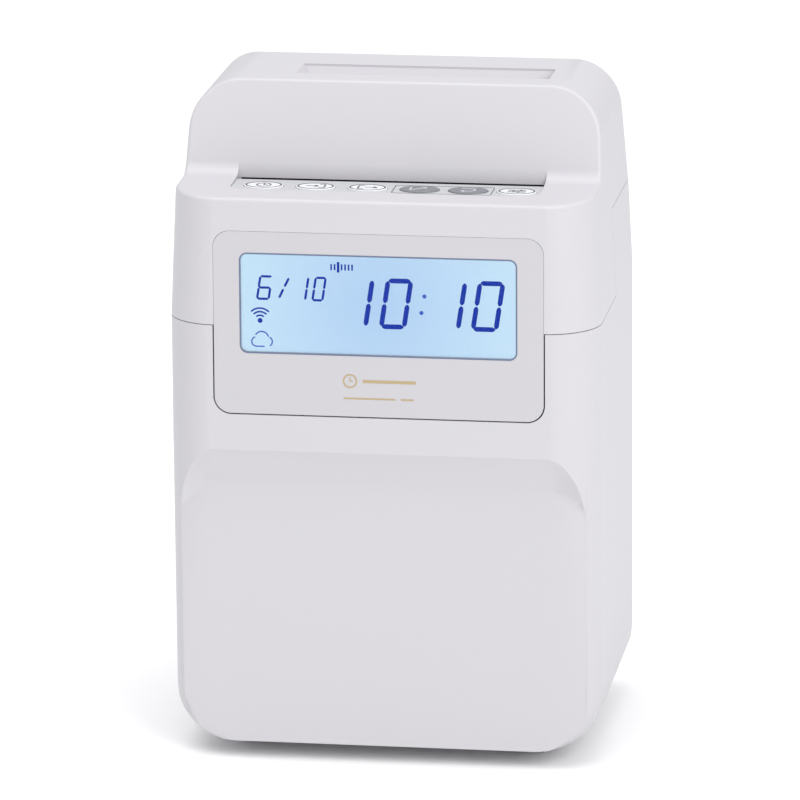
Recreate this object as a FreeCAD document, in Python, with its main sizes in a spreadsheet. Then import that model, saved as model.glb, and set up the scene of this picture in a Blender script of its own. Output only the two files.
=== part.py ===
"""Punch time clock: table-top card recorder with a hinged top cover, six keys and a card slot.

Frame: millimetres, +Z up, the front faces -Y, origin at the middle of the footprint on the table.
Depths (the sheet's *_back values) are measured backwards from the front plane, y = -depth / 2.
"""
import FreeCAD, Part

import math
import os
import re

import Sketcher
from FreeCAD import Placement, Rotation, Vector

SIZES = {
    # outer form
    "width": 155.0, "depth": 117.0, "top_z": 242.8, "floor_z": 6.5, "shell_wall": 2.5,
    "shoulder_z": 164.0, "top_width": 147.4, "corner_front": 19.0, "corner_rear": 8.0,
    "corner_top": 18.8, "corner_bottom": 18.0, "corner_steps": 7, "front_skim": 0.15,
    "facet_corner": 12.7, "facet_spare": 0.4, "edge_round": 1.4,
    "facet_back": 6.7, "facet_top_z": 104.0, "crease_z": 117.4,
    "lip_back": 1.9, "lip_z": 208.9, "foot_back": 36.2, "foot_z": 210.1, "foot_round": 6.0,
    "wall_top_back": 46.3, "roof_rear_back": 96.2, "rear_bend_z": 165.0,
    "rear_low_z": 21.5, "base_rear_back": 78.0,
    "face_tilt": 1.2,
    # seams
    "seam_z": 162.8, "seam_rear_z": 195.0, "seam_back": 61.0, "seam_gap": 0.3,
    # display
    "panel_width": 118.1, "panel_tall": 66.2, "panel_low_z": 130.9, "panel_corner": 6.0,
    "panel_thick": 2.0, "panel_gap": 0.5, "panel_fit": 0.1,
    "window_width": 98.7, "window_tall": 35.8, "window_low_z": 153.3, "window_corner": 2.4,
    "window_thick": 1.2, "window_sink": 0.15,
    "lcd_back": 2.4, "lcd_thick": 1.1, "module_thick": 5.0, "module_margin": 3.0,
    # key bay and card slot
    "bay_half": 55.6, "bay_back": 14.6, "bay_corner": 5.0, "bay_fit": 0.15,
    "strip_z": 209.1, "strip_thick": 1.5, "slot_front": 31.8, "slot_rear": 36.2,
    "throat_z": 200.0, "throat_thick": 1.8,
    "tray_half": 58.0, "tray_front": 12.4, "tray_z": 204.5, "tray_floor": 1.5, "tray_ledge": 1.3,
    "key_first": -44.0, "key_pitch": 18.7, "key_pitch_right": 17.4, "mouth_tall": 8.0,
    "key_width": 14.6, "key_deep": 10.7, "key_back": 22.0, "key_fit": 0.2,
    "key_proud": 0.4, "key_cap": 2.6, "stem_radius": 1.8, "stem_low_z": 203.45,
    "switch_top_z": 202.6, "keyboard_z": 200.9, "keyboard_thick": 1.2,
    # finger scoop in the roof
    "recess_left": -38.0, "recess_right": 54.0, "recess_front": 57.0, "recess_rear": 74.0,
    "recess_middle": 71.5, "recess_deep": 4.8, "recess_rear_deep": 0.8, "recess_slope": 4.0,
    "recess_right_slope": 1.0, "recess_wall": 1.6,
    # hinge
    "hinge_back": 110.6, "hinge_z": 195.0, "knuckle_radius": 3.0, "pin_radius": 1.5,
    "pin_play": 0.06, "hinge_x": 46.0, "knuckle_long": 9.0, "knuckle_gap": 0.4, "leaf": 4.0, "leaf_tall": 4.0,
    # chassis
    "sheet_steel": 1.5, "cheek_x": 52.0, "cheek_front": 15.0, "cheek_rear": 76.0,
    "cheek_top_z": 192.0, "deck_z": 13.0, "deck_front": 27.0, "web_back": 56.0, "web_top_z": 160.0,
    "boss_radius": 4.0, "screw_x": 40.0, "screw_front": 33.5, "screw_rear": 71.5,
    "screw_radius": 1.5, "screw_head": 2.8, "screw_head_tall": 1.8,
    # card chute
    "chute_half": 47.0, "card_half": 44.0, "chute_thick": 2.0, "chute_low_z": 14.5,
    "chute_top_z": 197.0, "stop_tall": 4.0, "print_z": 179.0, "print_window": 8.0,
    "print_half": 40.0, "platen_deep": 6.0, "platen_tall": 9.0,
    # card feed
    "feed_z": 145.5, "feed_back": 26.35, "pinch_back": 40.65, "feed_roller": 7.5, "feed_shaft": 2.5, "pinch_roller": 6.5, "pinch_shaft": 2.0,
    "roller_x": 25.0, "roller_long": 12.0, "bearing_play": 0.05,
    "shaft_half": 55.5, "motor_radius": 10.0, "motor_long": 16.0,
    # print carriage
    "rail_back": 20.0, "rail_z": 168.0, "rail_radius": 3.0, "screw_axis_z": 160.0,
    "lead_radius": 2.5, "carriage_half": 12.0, "carriage_front": 14.0, "carriage_rear": 26.0,
    "carriage_low_z": 156.0, "carriage_top_z": 172.0, "head_half": 9.0, "head_front": 12.5,
    "head_rear": 26.5, "head_top_z": 186.0, "nose_half": 5.0, "nose_rear": 28.2, "nose_tall": 8.0,
    "drive_radius": 8.0, "drive_long": 15.0,
    # ribbon
    "cassette_half": 46.0, "cassette_front": 12.6, "cassette_rear": 29.2, "cassette_z": 188.0,
    "cassette_tall": 9.0, "arm_wide": 4.0, "arm_deep": 3.5, "arm_low_z": 170.0,
    "ribbon_thick": 0.2, "ribbon_tall": 13.0, "knob_radius": 7.0, "knob_tall": 2.4, "knob_x": 34.0,
    # electronics
    "board_thick": 1.6, "board_half": 45.0, "board_low_z": 50.0, "board_top_z": 155.0,
    "board_back": 63.5, "standoff_radius": 2.5, "power_left": -40.0, "power_right": 24.0,
    "power_front": 68.0, "power_rear": 100.0, "power_z": 30.0,
    "socket_z": 40.0, "inlet_x": -30.0, "inlet_half": 6.0, "inlet_bore": 3.1, "inlet_pin": 1.0,
    "inlet_long": 14.0, "lan_x": 5.0, "lan_half": 8.0, "lan_tall": 13.5, "lan_long": 18.0,
    "jack_half": 5.9, "jack_tall": 6.8, "jack_deep": 14.0,
    "battery_left": -45.0, "battery_long": 50.0, "battery_radius": 6.5, "battery_back": 47.0,
    "buzzer_x": 30.0, "buzzer_z": 138.0, "buzzer_radius": 6.0, "buzzer_tall": 7.0,
    # feet
    "pad_inner": 42.2, "pad_outer": 55.2, "pad_front": 27.0, "pad_rear": 66.0, "pad_deep": 10.0,
    # lock
    "lock_back": 48.0, "lock_z": 181.0, "lock_radius": 7.0, "plug_radius": 5.0, "lock_inner": 62.0,
    "cam_long": 13.0, "cam_thick": 1.6, "cam_wide": 6.0, "tab_gap": 0.8,
}

doc = FreeCAD.newDocument("TimeClock")
sheet = doc.addObject("Spreadsheet::Sheet", "Sizes")
for row, (alias, number) in enumerate(SIZES.items(), start=1):
    sheet.set(f"A{row}", alias)
    sheet.set(f"B{row}", str(number))
    sheet.setAlias(f"B{row}", alias)
doc.recompute()

PIECES = []
TURN = {"x": Rotation(Vector(0, 1, 0), 90), "y": Rotation(Vector(1, 0, 0), -90), "z": Rotation()}


def size(alias):
    """Number held by the sheet."""
    return float(sheet.get(alias))


def rule(words):
    """Expression on the sheet: every word in it is an alias."""
    return re.sub(r"[a-z][a-z_]*", lambda word: "Sizes." + word.group(), words)


def behind(words):
    """Expression for y from a distance behind the front plane."""
    return f"({words}) - depth / 2"


def keep(piece, label):
    """Names a finished sub-part and puts it on the list of files to write."""
    piece.Label = label
    PIECES.append(piece)
    return piece


def bind(piece, **rules):
    """Binds the position of a piece to the sheet."""
    for axis, words in rules.items():
        piece.setExpression(f"Placement.Base.{axis}", rule(words))


def block(name, across, back, up):
    """Box from (low, high) expressions along x, behind the front plane and up."""
    piece = doc.addObject("Part::Box", name)
    for side, (low, high) in zip(("Length", "Width", "Height"), (across, back, up)):
        piece.setExpression(side, rule(f"({high}) - ({low})"))
    bind(piece, x=across[0], y=behind(back[0]), z=up[0])
    return piece


def rod(name, axis, radius, span, middle):
    """Cylinder along an axis from span[0] to span[1]; middle holds its two other coordinates."""
    piece = doc.addObject("Part::Cylinder", name)
    piece.Placement = Placement(Vector(), TURN[axis])
    piece.setExpression("Radius", rule(radius))
    piece.setExpression("Height", rule(f"({span[1]}) - ({span[0]})"))
    places = {"x": (span[0], behind(middle[0]), middle[1]),
              "y": (middle[0], behind(span[0]), middle[1]),
              "z": (middle[0], behind(middle[1]), span[0])}
    bind(piece, **dict(zip("xyz", places[axis])))
    return piece


def joined(name, *parts):
    """One solid from touching parts."""
    piece = doc.addObject("Part::MultiFuse", name)
    piece.Shapes = list(parts)
    piece.Refine = True
    return piece


def group(name, *parts):
    """Separate solids that share one node."""
    piece = doc.addObject("Part::Compound", name)
    piece.Links = list(parts)
    return piece


def less(name, base, *tools):
    """Base with the tools cut away."""
    piece = doc.addObject("Part::Cut", name)
    piece.Base = base
    piece.Tool = tools[0] if len(tools) == 1 else joined(name + "_tools", *tools)
    piece.Refine = True
    return piece


def solid(name, shape):
    """Free shape, worked out in distances behind the front plane, then moved into the frame."""
    piece = doc.addObject("Part::Feature", name)
    piece.Shape = shape
    piece.Placement = Placement(Vector(0, -size("depth") / 2, 0), Rotation()) * shape.Placement
    return piece


# ---- outlines with rounded corners, for the moulded shells ----

def rounded(points, lift):
    """Face inside a closed outline; points are (a, b, corner radius), lift turns (a, b) into 3-D."""
    edges = []
    ends = []
    count = len(points)
    for index, (a, b, radius) in enumerate(points):
        here = Vector(a, b, 0)
        before = Vector(*points[index - 1][:2], 0) - here
        after = Vector(*points[(index + 1) % count][:2], 0) - here
        before.normalize()
        after.normalize()
        half = before.getAngle(after) / 2
        if radius == 0:
            ends.append((here, here))
            edges.append(None)
            continue
        reach = radius / math.tan(half)
        start = here + before * reach
        stop = here + after * reach
        inward = before + after
        inward.normalize()
        middle = here + inward * (radius / math.sin(half) - radius)
        ends.append((start, stop))
        edges.append(Part.Arc(lift(start), lift(middle), lift(stop)).toShape())
    wire = []
    for index in range(count):
        if edges[index]:
            wire.append(edges[index])
        following = ends[(index + 1) % count][0]
        if ends[index][1].distanceToPoint(following) > 1e-6:
            wire.append(Part.makeLine(lift(ends[index][1]), lift(following)))
    return Part.Face(Part.Wire(Part.__sortEdges__(wire)))


def in_side(point):
    return Vector(0, point.x, point.y)


def in_front(point):
    return Vector(point.x, 0, point.y)


def in_plan(height):
    return lambda point: Vector(point.x, point.y, height)


def side_outline():
    """Side view, going back from the front foot, up the rear, over the roof, down wall and front."""
    rear = size("depth")
    return [
        (0, size("floor_z"), 0),
        (size("base_rear_back"), size("floor_z"), 8.0),
        (rear, size("rear_low_z"), 6.0),
        (rear, size("rear_bend_z"), 40.0),
        (size("roof_rear_back"), size("top_z"), 5.0),
        (size("wall_top_back"), size("top_z"), 0),
        (size("foot_back"), size("foot_z"), size("foot_round")),
        (size("lip_back"), size("lip_z"), 0),
        (0, size("crease_z"), 9.0),
    ]


def front_outline():
    """Front view: upright sides to the shoulder, then leaning in to the rounded top corners."""
    half = size("width") / 2
    top = size("top_width") / 2
    return [
        (-half, size("floor_z"), 0), (half, size("floor_z"), 0),
        (half, size("shoulder_z"), 60.0), (top, size("top_z"), size("corner_top")),
        (-top, size("top_z"), size("corner_top")), (-half, size("shoulder_z"), 60.0),
    ]


def plan_wire(half, height, inset):
    """Footprint with large front corners and smaller rear ones, drawn in by inset.

    Its front follows the leaning face, which trims a skim off it.
    """
    lean = size("lip_back") / (size("lip_z") - size("crease_z"))
    face = max(0, height - size("crease_z")) * lean - size("front_skim") + inset
    front, rear = size("corner_front") - inset, size("corner_rear") - inset
    half -= inset
    points = [(-half, face, front), (half, face, front),
              (half, size("depth") - inset, rear), (-half, size("depth") - inset, rear)]
    return rounded(points, in_plan(height)).OuterWire


FAR = 300.0


def bottom_wires(inset):
    """Footprints drawn in step by step round the bottom corners, from the sides to the floor."""
    radius = size("corner_bottom") - inset
    turn = math.pi / 2 / size("corner_steps")
    wires = []
    for step in range(int(size("corner_steps")) + 1):
        half = size("width") / 2 - radius * (1 - math.cos(turn * step))
        height = size("floor_z") + size("corner_bottom") - radius * math.sin(turn * step)
        wires.append(plan_wire(half, height, inset))
    return wires


def facet_room(inset):
    """Space in front of the lower face: upper corners rounded, edges sloping out to the front."""
    corner = size("corner_front")
    cut = corner - size("facet_back")
    half = size("width") / 2 - corner + math.sqrt(corner ** 2 - cut ** 2) + size("facet_spare")
    slope = (size("crease_z") - size("facet_top_z")) / size("facet_back")
    wires = []
    for back in (size("facet_back"), -1.0):
        grow = (size("facet_back") - back) * slope
        wide, top, radius = half + grow, size("facet_top_z") + grow, size("facet_corner") + grow
        points = [(-wide, -FAR, 0), (wide, -FAR, 0), (wide, top, radius), (-wide, top, radius)]
        face = rounded(points, in_front).translated(Vector(0, back + inset, 0))
        wires.append(face.OuterWire)
    return Part.makeLoft(wires, True, True)


def envelope(inset):
    """Outer form shrunk by inset: plan lofts, side view and front view, all in common."""
    side = rounded(side_outline(), in_side)
    front = rounded(front_outline(), in_front)
    if inset:
        side = side.makeOffset2D(-inset)
        front = front.makeOffset2D(-inset)
    wide = size("width")
    side_solid = side.extrude(Vector(2 * wide, 0, 0)).translated(Vector(-wide, 0, 0))
    front_solid = front.extrude(Vector(0, 2 * wide, 0)).translated(Vector(0, -wide / 2, 0))
    bottom = bottom_wires(inset)
    shoulder = plan_wire(size("width") / 2, size("shoulder_z"), inset)
    top = plan_wire(size("top_width") / 2, size("top_z"), inset)
    crease = plan_wire(size("width") / 2, size("crease_z"), inset)
    stages = [[bottom[0], crease], [crease, shoulder], [shoulder, top]]
    plan = Part.makeLoft(bottom, True, True)
    plan = plan.fuse([Part.makeLoft(stage, True, True) for stage in stages])
    side_solid = side_solid.cut(facet_room(inset))
    return plan.common(side_solid).common(front_solid).removeSplitter()


def slab(across, back, up):
    """Plain box used to divide the shells, from (low, high) pairs."""
    box = Part.makeBox(across[1] - across[0], back[1] - back[0], up[1] - up[0])
    return box.translated(Vector(across[0], back[0], up[0]))


def tilted(shape):
    """Leans a front-face shape back with the face, about the crease."""
    turned = shape.copy()
    turned.rotate(Vector(0, 0, size("crease_z")), Vector(1, 0, 0), -size("face_tilt"))
    return turned


def front_plate(half, low, top, corner, front, back):
    """Upright plate with rounded corners in the leaning front face."""
    points = [(-half, low, corner), (half, low, corner), (half, top, corner), (-half, top, corner)]
    plate = rounded(points, in_front).extrude(Vector(0, back - front, 0))
    return tilted(plate.translated(Vector(0, front, 0)))


def bay_plate(grow, low, top):
    """Key bay outline in plan, with rounded front corners, open to the card slot behind."""
    half = size("bay_half") + grow
    front = size("bay_back") - grow
    corner = size("bay_corner") + grow
    rear = size("slot_rear") + grow
    points = [(-half, front, corner), (half, front, corner), (half, rear, 0), (-half, rear, 0)]
    return rounded(points, in_plan(low)).extrude(Vector(0, 0, top - low))


def edge_is(edge, test):
    """True when both ends and the middle of an edge pass the test."""
    spots = edge.discretize(3)
    return all(test(spot) for spot in spots)


def soften(shape, radius, test):
    """Rounds every edge that passes the test."""
    chosen = [edge for edge in shape.Edges if edge_is(edge, test)]
    return shape.makeFillet(radius, chosen)


def brow_edge(spot):
    """Edge loop round the shelf and the leaning wall, from the lip to the roof."""
    lip = size("lip_z") + (size("foot_z") - size("lip_z")) * (spot.y - size("lip_back")) / (
        size("foot_back") - size("lip_back"))
    lean = (size("top_z") - size("foot_z")) / (size("wall_top_back") - size("foot_back"))
    wall = size("foot_z") + lean * (spot.y - size("foot_back"))
    on_shelf = abs(spot.z - lip) < 0.02 and spot.y < size("foot_back") - 3
    on_foot = abs(spot.y - size("foot_back")) < 6 and abs(spot.z - size("foot_z")) < 6
    on_wall = abs(spot.z - wall) < 0.02 * lean and spot.z > size("foot_z") + 2
    return on_shelf or on_wall or (on_foot and abs(spot.x) > size("top_width") / 2)


def roof_scoop():
    """Finger scoop cut in the roof: floor level in front, rising to the rear, ends sloped."""
    top = size("top_z")
    low = top - size("recess_deep")
    left, right = size("recess_left"), size("recess_right")
    front_view = [(left, top + 1, 0), (right, top + 1, 0), (right, top, 0),
                  (right - size("recess_right_slope"), low, 0), (left + size("recess_slope"), low, 0),
                  (left, top, 0)]
    front, rear = size("recess_front"), size("recess_rear")
    side_view = [(front, top + 1, 0), (rear, top + 1, 0), (rear, top - size("recess_rear_deep"), 0),
                 (size("recess_middle"), low, 0), (front, low, 0)]
    across = rounded(front_view, in_front).extrude(Vector(0, rear, 0))
    along = rounded(side_view, in_side).extrude(Vector(right - left, 0, 0))
    return across.common(along.translated(Vector(left, 0, 0)))


def inner_form():
    """Inside of the shells, kept clear of the scoop in the roof."""
    wall = size("recess_wall")
    pan = slab((size("recess_left") - wall, size("recess_right") + wall),
               (size("recess_front") - wall, size("recess_rear") + wall),
               (size("top_z") - size("recess_deep") - wall, size("top_z")))
    return envelope(size("shell_wall")).cut(pan)


OUTER = soften(envelope(0), size("edge_round"), brow_edge).cut(roof_scoop())
INNER = inner_form()


def shell_zone(zone):
    """Shell wall inside one zone."""
    return OUTER.cut(INNER).common(zone)


def cover_zone():
    """Space that belongs to the hinged cover: above the front seam and above the rear seam."""
    gap = size("seam_gap") / 2
    front = slab((-FAR, FAR), (-FAR, size("seam_back") - gap), (size("seam_z") + gap, FAR))
    rear = slab((-FAR, FAR), (0, FAR), (size("seam_rear_z") + gap, FAR))
    return front.fuse(rear)


def tongue_hole(gap):
    """Window in the front case through which the cover's display tongue hangs."""
    return front_plate(size("panel_width") / 2 + gap, size("panel_low_z") - gap,
                       size("seam_rear_z"), size("panel_corner") + gap, -5.0, 12.0)


def knuckle(x_low, x_high, radius):
    """Piece of a hinge barrel on the cover's axis."""
    place = Vector(x_low, size("hinge_back"), size("hinge_z"))
    return Part.makeCylinder(radius, x_high - x_low, place, Vector(1, 0, 0))


def leaf(x_low, x_high, low, top):
    """Web that carries a knuckle on the rear wall."""
    inner = size("hinge_back") - size("leaf")
    return slab((x_low, x_high), (inner, size("hinge_back")), (low, top))


def hinge_spans(side):
    """The three knuckles of one hinge: case, cover, case."""
    middle = side * size("hinge_x")
    long, gap = size("knuckle_long"), size("knuckle_gap")
    start = middle - 1.5 * long - gap
    return [(start + index * (long + gap), start + index * (long + gap) + long) for index in range(3)]


def screw_posts(back):
    """Bosses that hold the chassis, each with a screw hole and a counterbore below."""
    posts = []
    holes = []
    low, top = size("floor_z"), size("deck_z")
    for side in (-1, 1):
        place = Vector(side * size("screw_x"), back, low)
        posts.append(Part.makeCylinder(size("boss_radius"), top - low, place))
        holes.append(Part.makeCylinder(size("screw_radius"), FAR, place - Vector(0, 0, 5)))
        holes.append(Part.makeCylinder(size("screw_head") + 0.3, size("screw_head_tall") + 5.3,
                                       place - Vector(0, 0, 5)))
    return posts, holes


def make_front_case():
    gap = size("seam_gap") / 2
    zone = slab((-FAR, FAR), (-FAR, size("seam_back")), (-FAR, size("seam_z") - gap))
    posts, holes = screw_posts(size("screw_front"))
    case = shell_zone(zone).fuse(posts)
    case = case.cut(holes + [tongue_hole(size("panel_gap"))])
    return keep(solid("FrontCase", case.removeSplitter()), "front_case")


def make_rear_case():
    gap = size("seam_gap") / 2
    zone = slab((-FAR, FAR), (size("seam_back"), FAR), (-FAR, size("seam_rear_z") - gap))
    posts, holes = screw_posts(size("screw_rear"))
    case = shell_zone(zone).fuse(posts)
    for side in (-1, 1):
        first, _, last = hinge_spans(side)
        for low, high in (first, last):
            web = leaf(low, high, size("hinge_z") - size("leaf_tall"), size("hinge_z")).cut(INNER)
            case = case.fuse([web, knuckle(low, high, size("knuckle_radius"))])
        case = case.cut(knuckle(first[0], last[1], size("pin_radius")))
        middle = hinge_spans(side)[1]
        room = size("knuckle_gap")
        case = case.cut(knuckle(middle[0] - room, middle[1] + room, size("knuckle_radius") + room))
    rear = size("depth")
    sockets = [
        slab((size("inlet_x") - size("inlet_half"), size("inlet_x") + size("inlet_half")),
             (rear - 10, FAR), (size("socket_z") - size("inlet_half"),
                                size("socket_z") + size("inlet_half"))),
        slab((size("lan_x") - size("lan_half"), size("lan_x") + size("lan_half")), (rear - 10, FAR),
             (size("socket_z") - size("lan_tall") / 2, size("socket_z") + size("lan_tall") / 2)),
    ]
    return keep(solid("RearCase", case.cut(holes + sockets).removeSplitter()), "rear_case")


def key_tray():
    """Tray under the key strip: a ledge all round and a floor with a hole for each key stem."""
    half, ledge = size("tray_half"), size("tray_ledge")
    top = size("strip_z") - size("strip_thick")
    tray = slab((-half, half), (size("tray_front"), size("slot_front")), (size("tray_z"), top))
    inner = size("bay_half") - ledge - size("bay_fit")
    pocket = slab((-inner, inner), (size("bay_back") + ledge, size("slot_front") - ledge),
                  (size("tray_z") + size("tray_floor"), top))
    stems = [Part.makeCylinder(size("stem_radius") + size("key_fit"), FAR,
                               Vector(place, size("key_back"), 0)) for place in key_places()]
    return tray.cut([pocket] + stems)


def key_places():
    """Middles of the six keys along x: four evenly spaced, the last two a little closer."""
    left = [size("key_first") + index * size("key_pitch") for index in range(4)]
    return left + [left[-1] + index * size("key_pitch_right") for index in (1, 2)]


def slot_mouth():
    """Room above the card slot: the leaning wall runs straight down to it, without its foot fillet."""
    back, low, tall = size("slot_rear"), size("foot_z"), size("mouth_tall")
    lean = (size("wall_top_back") - size("foot_back")) / (size("top_z") - size("foot_z"))
    view = [(size("slot_front"), low, 0), (back, low, 0), (back + lean * tall, low + tall, 0),
            (size("slot_front"), low + tall, 0)]
    mouth = rounded(view, in_side).extrude(Vector(2 * size("bay_half"), 0, 0))
    return mouth.translated(Vector(-size("bay_half"), 0, 0))


def make_top_cover():
    gap = size("seam_gap") / 2
    cover = shell_zone(cover_zone())
    tongue = front_plate(size("panel_width") / 2, size("panel_low_z"), size("seam_rear_z"),
                         size("panel_corner"), 0.0, size("shell_wall") + size("panel_thick"))
    cover = cover.fuse(tongue)
    cover = cover.cut(front_plate(size("panel_width") / 2 + size("panel_fit"),
                                  size("panel_low_z") - 10, size("panel_low_z") + size("panel_tall") + size("panel_fit"),
                                  size("panel_corner"), -5.0, size("panel_thick")))
    cover = cover.cut(front_plate(size("window_width") / 2, size("window_low_z"),
                                  size("window_low_z") + size("window_tall"), size("window_corner"), -5.0, 12.0))
    cover = cover.cut(bay_plate(0, size("tray_z"), FAR).common(
        slab((-FAR, FAR), (0, size("slot_rear")), (0, size("foot_z") + 30))))
    throat = slab((-size("bay_half") - 1, size("bay_half") + 1),
                  (size("slot_rear"), size("slot_rear") + size("throat_thick")),
                  (size("throat_z"), size("foot_z") + 2)).common(OUTER)
    ends = [slab((min(low, high), max(low, high)), (size("slot_front"), size("slot_rear")),
                 (size("throat_z"), size("throat_z") + 3))
            for low, high in ((side * size("chute_half"), side * (size("bay_half") + 1))
                              for side in (-1, 1))]
    cover = cover.fuse([key_tray(), throat] + ends).cut(slot_mouth())
    for side in (-1, 1):
        low, high = hinge_spans(side)[1]
        web = leaf(low, high, size("hinge_z"), size("hinge_z") + size("leaf_tall")).cut(INNER)
        cover = cover.fuse([web, knuckle(low, high, size("knuckle_radius"))])
        cover = cover.cut(knuckle(low, high, size("pin_radius") + size("pin_play")))
        room = size("knuckle_gap")
        for span in (hinge_spans(side)[0], hinge_spans(side)[2]):
            cover = cover.cut(knuckle(span[0] - room, span[1] + room,
                                      size("knuckle_radius") + room))
    barrel = Part.makeCylinder(size("lock_radius"), FAR,
                               Vector(-FAR, size("lock_back"), size("lock_z")), Vector(1, 0, 0))
    cover = cover.cut(barrel)
    return keep(solid("TopCover", cover.removeSplitter()), "top_cover")


make_front_case()
make_rear_case()
make_top_cover()


# ---- flat plates of the display, drawn as sketches on each body's XZ plane ----

def role_plane(body, role):
    """Origin plane of a body."""
    return next(item for item in body.Origin.OriginFeatures if item.Role == role)


def hold(sketch, kind, places, alias):
    """Adds a measured constraint bound to the sheet."""
    number = sketch.addConstraint(Sketcher.Constraint(kind, *places, size(alias)))
    sketch.setExpression(f"Constraints[{number}]", rule(alias))


def outline(sketch, wide, tall, corner):
    """Rounded rectangle centred on the sketch origin; wide, tall and corner are aliases."""
    radius = size(corner)
    right, up = size(wide) / 2 - radius, size(tall) / 2 - radius
    first = sketch.GeometryCount
    middles = ((right, -up), (right, up), (-right, up), (-right, -up))
    for quarter, (across, above) in enumerate(middles):
        start = math.radians(90 * quarter - 90)
        circle = Part.Circle(Vector(across, above, 0), Vector(0, 0, 1), radius)
        sketch.addGeometry(Part.ArcOfCircle(circle, start, start + math.pi / 2))
    lines = []
    for quarter in range(4):
        arc, following = first + quarter, first + (quarter + 1) % 4
        line = sketch.addGeometry(Part.LineSegment(sketch.getPoint(arc, 2),
                                                   sketch.getPoint(following, 1)))
        sketch.addConstraint(Sketcher.Constraint("Tangent", arc, 2, line, 1))
        sketch.addConstraint(Sketcher.Constraint("Tangent", line, 2, following, 1))
        direction = "Horizontal" if quarter % 2 else "Vertical"
        sketch.addConstraint(Sketcher.Constraint(direction, line))
        lines.append(line)
    for quarter in (1, 2, 3):
        sketch.addConstraint(Sketcher.Constraint("Equal", first, first + quarter))
    sketch.addConstraint(Sketcher.Constraint("Symmetric", first, 3, first + 2, 3, -1, 1))
    hold(sketch, "Radius", (first,), corner)
    hold(sketch, "DistanceX", (lines[2], 1, lines[0], 1), wide)
    hold(sketch, "DistanceY", (lines[3], 1, lines[1], 1), tall)


def add_sketch(body, name):
    """Sketch on the body's XZ plane."""
    sketch = body.newObject("Sketcher::SketchObject", name)
    sketch.AttachmentSupport = [(role_plane(body, "XZ_Plane"), "")]
    sketch.MapMode = "FlatFace"
    return sketch


def face_piece(body, low_z, tall, back):
    """Places a plate body in the leaning front face, its middle at low_z + tall / 2."""
    lean = math.radians(size("face_tilt"))
    up = size(low_z) + size(tall) / 2 - size("crease_z")
    body.Placement = Placement(
        Vector(0, back * math.cos(lean) + up * math.sin(lean) - size("depth") / 2,
               size("crease_z") + up * math.cos(lean) - back * math.sin(lean)),
        Rotation(Vector(1, 0, 0), -size("face_tilt")))


def plate_body(label, wide, tall, corner, thick):
    """Rounded plate padded backwards from the XZ plane."""
    body = doc.addObject("PartDesign::Body", label.title().replace("_", ""))
    sketch = add_sketch(body, label + "_outline")
    outline(sketch, wide, tall, corner)
    pad = body.newObject("PartDesign::Pad", label + "_pad")
    pad.Profile = sketch
    pad.Reversed = True
    pad.setExpression("Length", rule(thick))
    doc.recompute()
    return body


def make_display_panel():
    body = plate_body("display_panel", "panel_width", "panel_tall", "panel_corner", "panel_thick")
    sketch = add_sketch(body, "display_panel_window")
    outline(sketch, "window_width", "window_tall", "window_corner")
    shift = (size("window_low_z") + size("window_tall") / 2) - (
        size("panel_low_z") + size("panel_tall") / 2)
    sketch.AttachmentOffset = Placement(Vector(0, shift, 0), Rotation())
    before = body.Shape.Volume
    pocket = body.newObject("PartDesign::Pocket", "display_panel_opening")
    pocket.Profile = sketch
    pocket.Type = 1
    pocket.Midplane = True
    doc.recompute()
    if body.Shape.Volume > before - 100:
        raise RuntimeError("the display opening cuts nothing")
    face_piece(body, "panel_low_z", "panel_tall", 0.0)
    return keep(body, "display_panel")


def make_display_window():
    body = plate_body("display_window", "window_width", "window_tall", "window_corner",
                      "window_thick")
    face_piece(body, "window_low_z", "window_tall", size("window_sink"))
    return keep(body, "display_window")


def make_lcd_glass():
    body = plate_body("lcd_glass", "window_width", "window_tall", "window_corner", "lcd_thick")
    face_piece(body, "window_low_z", "window_tall", size("lcd_back"))
    return keep(body, "lcd_glass")


def make_lcd_module():
    """Backlight housing fixed behind the tongue."""
    margin = size("module_margin")
    back = size("shell_wall") + size("panel_thick")
    points = front_plate(size("window_width") / 2 + margin, size("window_low_z") - margin,
                         size("window_low_z") + size("window_tall") + margin, 1.0, back, back + size("module_thick"))
    return keep(solid("LcdModule", points), "lcd_module")


def oval(middle, wide, deep, low, top):
    """Elliptical prism, middle on the key row."""
    ring = Part.Ellipse(Vector(middle, size("key_back"), low), wide / 2, deep / 2)
    face = Part.Face(Part.Wire(ring.toShape()))
    return face.extrude(Vector(0, 0, top - low))


def make_key_panel():
    """Strip that fills the key bay in front of the card slot, with an oval hole for each key."""
    low, top = size("strip_z") - size("strip_thick"), size("strip_z")
    strip = bay_plate(-size("bay_fit"), low, top).common(
        slab((-FAR, FAR), (0, size("slot_front")), (low, top)))
    holes = [oval(place, size("key_width"), size("key_deep"), 0, FAR) for place in key_places()]
    return keep(solid("KeyPanel", strip.cut(holes)), "key_panel")


def make_keys():
    """Six oval caps, each with a stem through the tray to its switch."""
    top = size("strip_z") + size("key_proud")
    for number, place in enumerate(key_places(), start=1):
        gap = 2 * size("key_fit")
        cap = oval(place, size("key_width") - gap, size("key_deep") - gap, top - size("key_cap"), top)
        stem = Part.makeCylinder(size("stem_radius"), top - 1 - size("stem_low_z"),
                                 Vector(place, size("key_back"), size("stem_low_z")))
        cap = cap.fuse(stem).removeSplitter()
        cap = soften(cap, 0.35, lambda spot: abs(spot.z - top) < 0.01)
        keep(solid(f"Key{number}", cap), f"key_{number}")


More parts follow.
